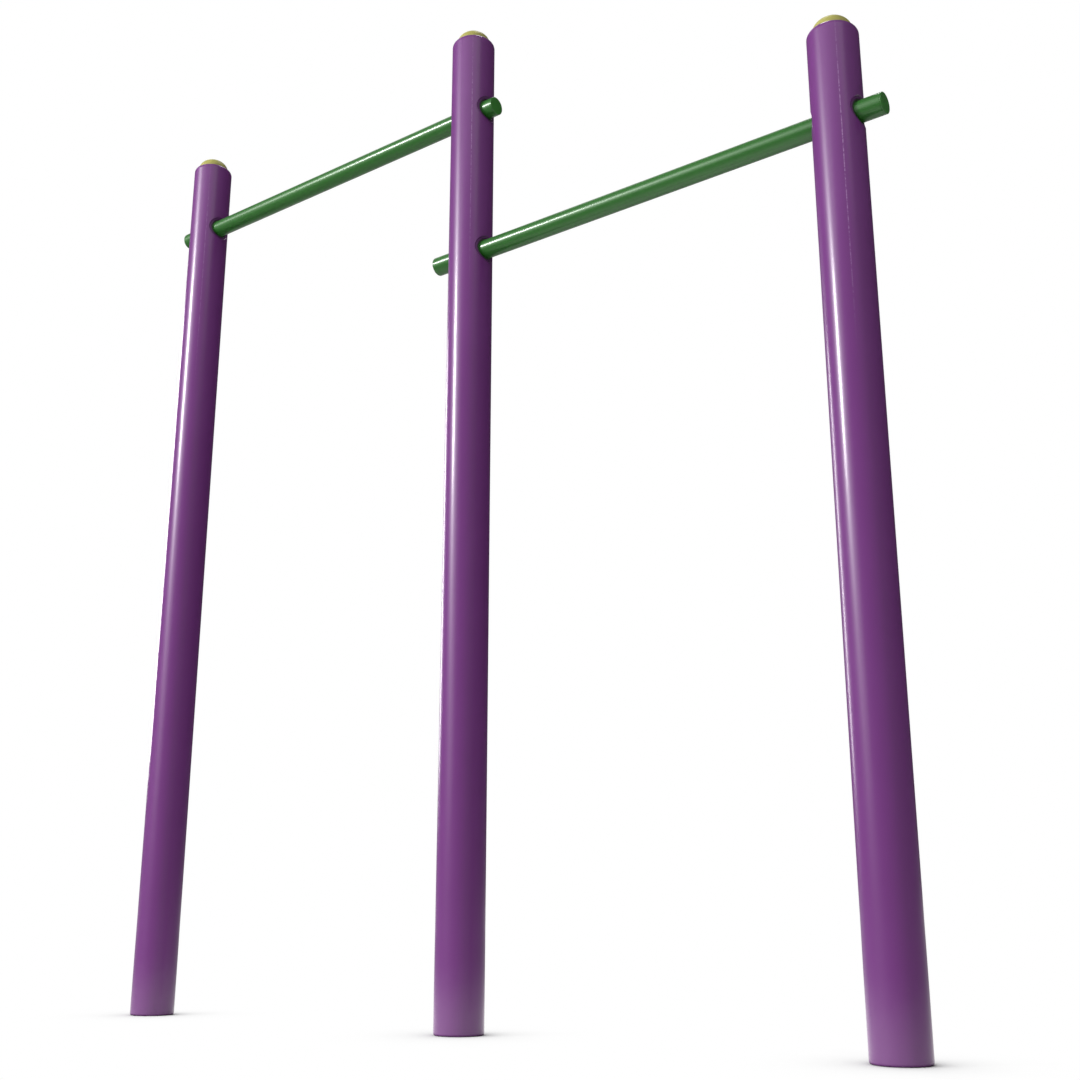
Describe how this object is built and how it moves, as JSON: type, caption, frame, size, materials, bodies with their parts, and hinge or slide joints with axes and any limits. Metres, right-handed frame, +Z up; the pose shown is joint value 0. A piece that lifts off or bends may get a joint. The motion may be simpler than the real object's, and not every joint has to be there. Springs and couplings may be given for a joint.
{
  "type": "outdoor pull-up bar",
  "caption": "Free-standing outdoor pull-up station: round posts in a row with domed caps carry round bars at a high and a lower level, through bushed holes.",
  "frame": {"origin": "centre of the middle post's foot, on the ground", "axes": "+X along the bars towards the lower bar's bay, +Y to the rear where the lock screws are, +Z up"},
  "size_m": [2.3116, 0.1142, 2.5823],
  "materials": {
    "post_paint": "glossy purple paint",
    "bar_paint": "glossy green paint",
    "cap_plastic": "semi-gloss yellow",
    "bush_nylon": "matt black",
    "screw_steel": "plain stainless",
    "plate_zinc": "dull zinc"
  },
  "bodies": {
    "root": {"left_post": "post_paint", "left_post_cap": "cap_plastic", "left_post_foot_plate": "plate_zinc", "middle_post": "post_paint", "middle_post_cap": "cap_plastic", "middle_post_foot_plate": "plate_zinc", "right_post": "post_paint", "right_post_cap": "cap_plastic", "right_post_foot_plate": "plate_zinc", "high_bar": "bar_paint", "high_bar_left_plug": "bar_paint", "high_bar_right_plug": "bar_paint", "high_bar_left_outer_bush": "bush_nylon", "high_bar_left_inner_bush": "bush_nylon", "high_bar_right_inner_bush": "bush_nylon", "high_bar_right_outer_bush": "bush_nylon", "high_bar_left_lock_screw": "screw_steel", "high_bar_right_lock_screw": "screw_steel", "low_bar": "bar_paint", "low_bar_left_plug": "bar_paint", "low_bar_right_plug": "bar_paint", "low_bar_left_outer_bush": "bush_nylon", "low_bar_left_inner_bush": "bush_nylon", "low_bar_right_inner_bush": "bush_nylon", "low_bar_right_outer_bush": "bush_nylon", "low_bar_left_lock_screw": "screw_steel", "low_bar_right_lock_screw": "screw_steel"}
  },
  "joints": []
}
